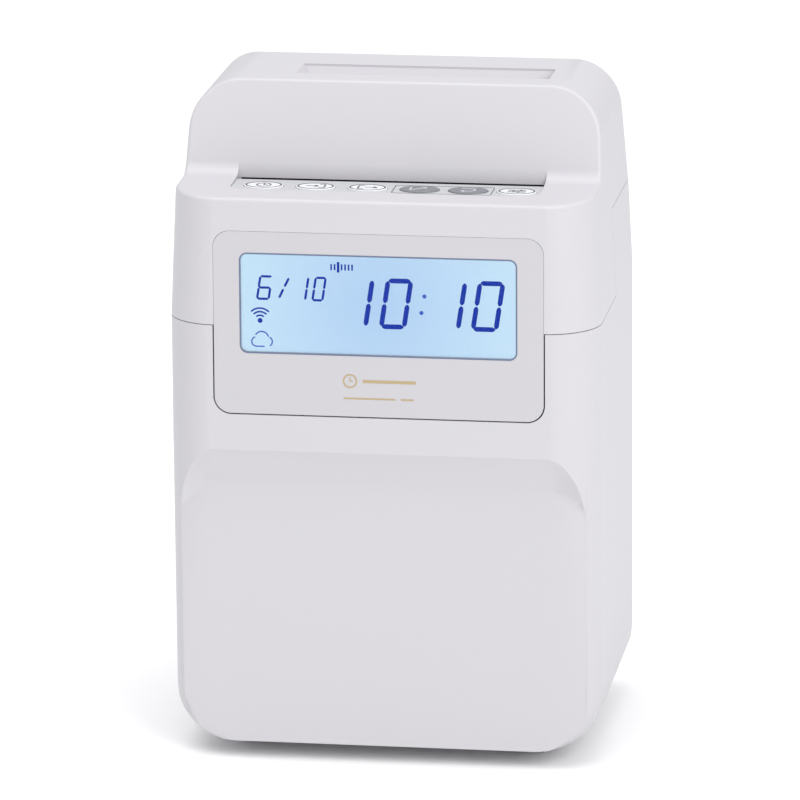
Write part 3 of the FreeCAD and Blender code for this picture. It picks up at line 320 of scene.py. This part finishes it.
def mark(name, ribbons, finish, origin, right, up, body, thick=0.05):
    """Printed mark: every flat point (x, y) becomes origin + x right + y up, as a film that
    stands thick mm proud of the plane through origin."""
    out = np.cross(right, up)
    grids = []
    for flat, closed in ribbons:
        side, ahead = flat[0, 1] - flat[0, 0], flat[1, 0] - flat[0, 0]
        if side[0] * ahead[1] - side[1] * ahead[0] < 0:
            flat = flat[:, ::-1]
        place = np.asarray(origin) + out * thick * MM
        grids.append((place + flat[..., :1] * MM * right + flat[..., 1:] * MM * up, closed))
    made = from_grids(name, grids, finish)
    film = made.modifiers.new("Film", "SOLIDIFY")
    film.thickness = thick * 0.8 * MM
    film.offset = -1
    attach(made, body)


# ---- display ----

# The display leans back. The window is wide and tall, and the gold sign's two rows are heights
# above the table.
LEAN = math.radians(1.2)
FACE_UP = np.array((0.0, math.sin(LEAN), math.cos(LEAN)))
FACE_OUT = np.array((0.0, -math.cos(LEAN), math.sin(LEAN)))
WINDOW = (98.7, 35.8)
LCD_THICK, WINDOW_THICK, PANEL_THICK = 1.1, 1.2, 2.0
SIGN_ROWS = (143.8, 137.5)

# Numerals: they lean by SLANT, and each names its lit segments. Sizes are wide, tall and thick.
SLANT = 0.155
SEGMENTS = {"0": "abcdef", "1": "bc", "6": "acdefg"}
TIME_SIZE, TIME_TOP = (9.9, 18.4, 1.75), 8.0
DATE_SIZE, DATE_TOP, SIX_WIDE = (4.4, 9.0, 0.85), 8.1, 5.0

# Row of seven day pips, its middle this far down the window, with a taller pip for today.
PIP_LEFT, PIP_PITCH, PIP_MIDDLE, TODAY = 32.4, 1.25, 4.5, 2


def face_point(node, thick_mm):
    """Middle of the front surface of a leaning plate of the display."""
    low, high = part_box(node)
    return np.array((low + high) / 2) + FACE_OUT * thick_mm / 2 * MM


def on_window(right, down):
    """Point right and down of the window's top left corner, counted from its middle."""
    return np.array((right - WINDOW[0] / 2, WINDOW[1] / 2 - down))


def digit(sign, left, top, wide, tall, thick):
    """Seven-segment numeral: each lit segment is a stroke between two of its six corners, with
    a small gap at each end, and leans by x + SLANT y."""
    near, far = thick / 2, wide - thick / 2
    low, middle, high = thick / 2, tall / 2, tall - thick / 2
    ends = {"a": ((near, high), (far, high)), "b": ((far, high), (far, middle)),
            "c": ((far, middle), (far, low)), "d": ((near, low), (far, low)),
            "e": ((near, middle), (near, low)), "f": ((near, high), (near, middle)),
            "g": ((near, middle), (far, middle))}
    gap, tip = thick * 0.12, 0.35
    strokes = []
    for name in SEGMENTS[sign]:
        start, stop = (np.array(end) for end in ends[name])
        step = (stop - start) / np.linalg.norm(stop - start) * gap
        corners = [np.array((x + SLANT * y, y)) + on_window(left, top + tall)
                   for x, y in (start + step, stop - step)]
        strokes.append(stroke(*corners, thick / 2, tip))
    return strokes


def day_pips():
    """Seven upright strokes in a row."""
    pips = []
    for day in range(7):
        reach, half = (1.9, 0.46) if day == TODAY else (1.1, 0.3)
        right = PIP_LEFT + PIP_PITCH * day
        pips.append(stroke(on_window(right, PIP_MIDDLE - reach),
                           on_window(right, PIP_MIDDLE + reach), half))
    return pips


def signal_fan():
    """A dot with three quarter arcs above it."""
    foot = on_window(6.7, 24.6)
    return [dot(foot, 0.9)] + [arc(foot, radius, 45, 135, 0.3) for radius in (1.9, 3.2, 4.5)]


def cloud_outline():
    """Three arcs over a flat base."""
    line = 0.24
    return [arc(on_window(5.3, 32.3), 1.7, 105, 270, line),
            arc(on_window(7.2, 31.1), 2.5, 15, 150, line),
            arc(on_window(9.2, 32.2), 1.8, -60, 62, line),
            stroke(on_window(5.3, 34.0), on_window(8.2, 34.0), line)]


def lcd_marks():
    """What the display shows: date 6/10, time 10:10, day pips, signal fan and cloud."""
    face = face_point("lcd_glass", LCD_THICK), RIGHT, FACE_UP, "cover"
    hours = [digit(sign, left, TIME_TOP, *TIME_SIZE)
             for sign, left in zip("1010", (35.4, 49.2, 68.5, 82.0))]
    mark("lcd_time", sum(hours, []), SEGMENT, *face)
    date = digit("6", 5.2, DATE_TOP, SIX_WIDE, *DATE_SIZE[1:])
    date += digit("1", 18.9, DATE_TOP, *DATE_SIZE) + digit("0", 25.1, DATE_TOP, *DATE_SIZE)
    date += [stroke(on_window(13.6, 16.2), on_window(15.2, 12.9), 0.42, 0.35),
             stroke(on_window(15.6, 12.1), on_window(17.2, 8.9), 0.42, 0.35)]
    mark("lcd_date", date, SEGMENT, *face)
    mark("lcd_status", day_pips() + signal_fan(), SEGMENT, *face)
    colon = [dot(on_window(65.7, 14.2), 0.75), dot(on_window(64.6, 20.2), 0.75)]
    mark("lcd_pale_marks", cloud_outline() + colon, SEGMENT_PALE, *face)


def window_gap_shade_line():
    """Fine blue-grey line drawn round the window, just outside its edge: painted shade of the narrow
    gap there.
    """
    spare, line = 0.1, 0.28
    border = rounded_path(WINDOW[0] / 2 + spare, WINDOW[1] / 2 + spare, 2.6)
    middle = face_point("display_window", WINDOW_THICK) + FACE_OUT * 0.15 * MM
    mark("window_gap_shade_line", [ribbon(border, line, True)], WINDOW_GAP_SHADE, middle,
         RIGHT, FACE_UP, "cover")


def panel_sign():
    """Plain gold clock sign and three lines, on two rows below the window."""
    low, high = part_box("display_panel")
    middle_height = ((low + high) / 2).z / MM
    upper, lower = (height - middle_height for height in SIGN_ROWS)
    clock = (-10.2, upper)
    sign = [arc(clock, 2.3, 0, 360, 0.28),
            stroke(clock, (clock[0], upper + 1.4), 0.2),
            stroke(clock, (clock[0] + 1.0, upper), 0.2),
            stroke((-5.6, upper), (13.4, upper), 0.55),
            stroke((-12.5, lower), (6.0, lower), 0.3),
            stroke((8.0, lower), (12.6, lower), 0.3)]
    mark("panel_sign", sign, GOLD_INK, face_point("display_panel", PANEL_THICK),
         RIGHT, FACE_UP, "cover")


# ---- keys ----

SIGN_LINE = 0.27
RING = (6.3, 4.35)
PALE_KEYS = (1, 2, 3, 6)


def runs(*points):
    """Chain of straight strokes through the points."""
    return [stroke(a, b, SIGN_LINE) for a, b in zip(points, points[1:])]


def arrow(tail, tip, reach, heading):
    """Stroke from tail to tip, with two strokes reach long back from the tip."""
    spread = np.radians(heading + np.array((140, -140)))
    return runs(tail, tip) + [stroke(tip, tip + reach * barb, SIGN_LINE)
                              for barb in circle(spread)]


def doorway(side):
    """Three strokes of an open frame, on the right for side 1 and on the left for side -1."""
    return runs(*((side * x, y) for x, y in ((1.2, 2.3), (3.3, 2.3), (3.3, -2.3), (1.2, -2.3))))


def key_signs():
    """Signs for the keys: automatic, in, out, going out, coming back and adjust."""
    clock = [arc((0, 0), 2.5, 0, 360, SIGN_LINE)] + runs((0, 1.7), (0, 0), (1.3, 0))
    going_in = arrow((-3.4, 0), (1.0, 0), 1.7, 0) + doorway(1)
    going_out = arrow((-1.0, 0), (3.4, 0), 1.7, 0) + doorway(-1)
    leaving = arrow((-2.6, -2.0), (2.4, 2.0), 1.9, 39) + runs((-3.2, 2.3), (-3.2, -2.3))
    coming_back = ([arc((0.4, 0), 2.1, -90, 90, SIGN_LINE)] + runs((-2.6, 2.1), (0.4, 2.1))
                   + arrow((0.4, -2.1), (-2.6, -2.1), 1.7, 180))
    sliders = [(1.4, 1.6), (-1.2, 0), (0.6, -1.6)]
    adjust = sum((runs((-3.2, y), (3.2, y)) + [dot((x, y), 0.7)] for x, y in sliders), [])
    return clock, going_in, going_out, leaving, coming_back, adjust


def key_prints():
    """A sign on every key, a ring (a cos t, b sin t) on the pale ones, and a frame round the
    two dark ones."""
    turn = np.linspace(0, 2 * np.pi, 64, endpoint=False)
    ring = [ribbon(RING * circle(turn), 0.3, True)]
    for number, sign in enumerate(key_signs(), start=1):
        low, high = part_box(f"key_{number}")
        middle = np.array(((low.x + high.x) / 2, (low.y + high.y) / 2, high.z))
        pale = number in PALE_KEYS
        mark(f"key_{number}_print", sign + (ring if pale else []), INK if pale else INK_LIGHT,
             middle, RIGHT, BACK, f"key_{number}_body")
    sides = [(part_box(f"key_{a}")[1].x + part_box(f"key_{b}")[0].x) / 2 for a, b in ((3, 4), (5, 6))]
    low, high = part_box("key_4")
    middle = np.array((sum(sides) / 2, (low.y + high.y) / 2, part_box("key_panel")[1].z))
    outline = rounded_path((sides[1] - sides[0]) / 2 / MM, 6.0, 1.0)
    mark("key_frame_print", [ribbon(outline, 0.16, True)], INK, middle, RIGHT, BACK, "cover")


# ---- card slot and lead screw ----

def slot_painted_shade():
    """Black sheet on the rear wall of the card slot, behind the key strip: painted shade, so the slot
    reads as a black line.
    """
    low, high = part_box("key_panel")
    half_wide, deep = 54.6, 8.5
    wall, top = high.y + 4.4 * MM, high.z - 0.35 * MM
    middle = (0.0, wall - 0.02 * MM, top - deep / 2 * MM)
    mark("slot_painted_shade", [stroke((-half_wide, 0), (half_wide, 0), deep / 2)], SLOT_SHADE_BLACK,
         middle, RIGHT, UP, "cover", 0.08)


def lead_screw():
    """Lead screw of several starts n, r(x, a) = outer - depth (1 + cos n (a - 2 pi x / lead)) / 2
    round its own axis, closed to a point at both end faces."""
    low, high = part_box("lead_screw")
    middle = (low + high) / 2
    starts, depth, lead = 4, 0.45 * MM, 10 * MM
    outer = (high.z - low.z) / 2
    turn = np.linspace(0, 2 * np.pi, 40, endpoint=False)
    x, a = np.meshgrid(np.linspace(low.x, high.x, 360), turn)
    radius = outer - depth * (1 + np.cos(starts * (a - 2 * np.pi * x / lead))) / 2
    thread = np.stack([x, middle.y + radius * np.cos(a), middle.z + radius * np.sin(a)], -1)
    caps = [np.broadcast_to((end, middle.y, middle.z), (len(turn), 1, 3))
            for end in (low.x, high.x)]
    grid = np.concatenate([caps[0], thread, caps[1]], 1)
    screw = from_grids("lead_screw_thread", [(grid, True)], GROUND)
    screw.data.shade_smooth()
    screw.data.set_sharp_from_angle(angle=math.radians(60))
    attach(screw, "screw")
    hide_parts("lead_screw")


# ---- shells ----

# The facet is the flat lower front of the case, set back from the wall above. A slope that lies
# between these heights joins the two.
FACET_Y = -51.8 * MM
SLOPE_LOW, SLOPE_TOP = 85 * MM, 122 * MM
# An edge is smooth where it bends less than this: in the facet's plane, on the slope, elsewhere.
FACET_BEND, SLOPE_BEND, SHARP_BEND = (math.radians(bend) for bend in (70, 12, 28))


def widest_smooth_bend(edge):
    """The bend up to which an edge is shaded smooth, by where on the case it lies."""
    ends = [vert.co for vert in edge.verts]
    in_plane = 0.05 * MM
    if all(abs(end.y - FACET_Y) < in_plane for end in ends):
        return FACET_BEND
    if all(end.y < FACET_Y and SLOPE_LOW < end.z < SLOPE_TOP for end in ends):
        return SLOPE_BEND
    return SHARP_BEND


def shell(node, body):
    """Merged copy of a moulded shell, shaded smooth by face area with its real edges sharp."""
    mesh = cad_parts[node].data.copy()
    work = bmesh.new()
    work.from_mesh(mesh)
    same_point = 0.002 * MM
    bmesh.ops.remove_doubles(work, verts=work.verts, dist=same_point)
    for edge in work.edges:
        edge.smooth = edge.calc_face_angle(0.0) < widest_smooth_bend(edge)
    work.to_mesh(mesh)
    work.free()
    mesh.polygons.foreach_set("use_smooth", [True] * len(mesh.polygons))
    if "custom_normal" in mesh.attributes:
        mesh.attributes.remove(mesh.attributes["custom_normal"])
    mesh.materials.clear()
    mesh.materials.append(WHITE)
    made = bpy.data.objects.new(node + "_moulding", mesh)
    bpy.context.scene.collection.objects.link(made)
    made.modifiers.new("Even shading", "WEIGHTED_NORMAL").keep_sharp = True
    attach(made, body)
    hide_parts(node)


# ---- stage ----

# Name, place, side of the square and power of each soft light.
LIGHTS = (("key, front right", (1.5, -1.6, 1.5), 1.4, 29.5),
          ("fill, above", (-0.3, -0.3, 2.3), 2.2, 27.0))
LIT_POINT = Vector((0, 0, 0.12))


def studio():
    """Pale floor, even dome light, and the two soft lights aimed at the clock's middle."""
    bpy.ops.mesh.primitive_plane_add(size=14)
    floor = bpy.context.object
    floor.name = "floor"
    floor.data.materials.append(plain("Pale studio floor", "#F8F8F8", Roughness=0.9))
    world = bpy.data.worlds.new("Studio")
    world.use_nodes = True
    dome = world.node_tree.nodes["Background"]
    dome.inputs["Color"].default_value = (0.98, 0.985, 1.0, 1.0)
    dome.inputs["Strength"].default_value = 0.82
    bpy.context.scene.world = world
    for name, place, side, power in LIGHTS:
        lamp = bpy.data.lights.new(name, "AREA")
        lamp.size = side
        lamp.energy = power
        holder = bpy.data.objects.new(name, lamp)
        holder.location = place
        holder.rotation_euler = (LIT_POINT - Vector(place)).to_track_quat("-Z", "Y").to_euler()
        bpy.context.scene.collection.objects.link(holder)


def camera():
    """Telephoto view, turned 9 degrees to the right of the front and 15 degrees down."""
    yaw, pitch, roll = (math.radians(a) for a in (8.958, 14.802, -0.536))
    distance, slide, lift = 2.3945, -0.00165, 0.01124
    target = Vector((0, 0.0015, 0.110))
    ahead = Vector((-math.sin(yaw) * math.cos(pitch), math.cos(yaw) * math.cos(pitch),
                    -math.sin(pitch)))
    right = Vector((math.cos(yaw), math.sin(yaw), 0))
    up = right.cross(ahead)
    rolled_right = math.cos(roll) * right + math.sin(roll) * up
    rolled_up = -math.sin(roll) * right + math.cos(roll) * up
    lens = bpy.data.cameras.new("view")
    lens.sensor_width = 36.0
    lens.lens = 295.8
    lens.clip_end = 30.0
    holder = bpy.data.objects.new("view", lens)
    holder.matrix_world = Matrix((rolled_right, rolled_up, -ahead)).transposed().to_4x4()
    holder.location = target - distance * ahead + slide * right + lift * up
    bpy.context.scene.collection.objects.link(holder)
    bpy.context.scene.camera = holder


studio()
camera()
bpy.context.scene.view_settings.view_transform = "Standard"

for finish, nodes in FINISHES.items():
    for node in nodes:
        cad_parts[node].data.materials.clear()
        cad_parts[node].data.materials.append(finish)
shell("front_case", "case")
shell("rear_case", "case")
shell("top_cover", "cover")
lcd_marks()
window_gap_shade_line()
panel_sign()
key_prints()
slot_painted_shade()
lead_screw()
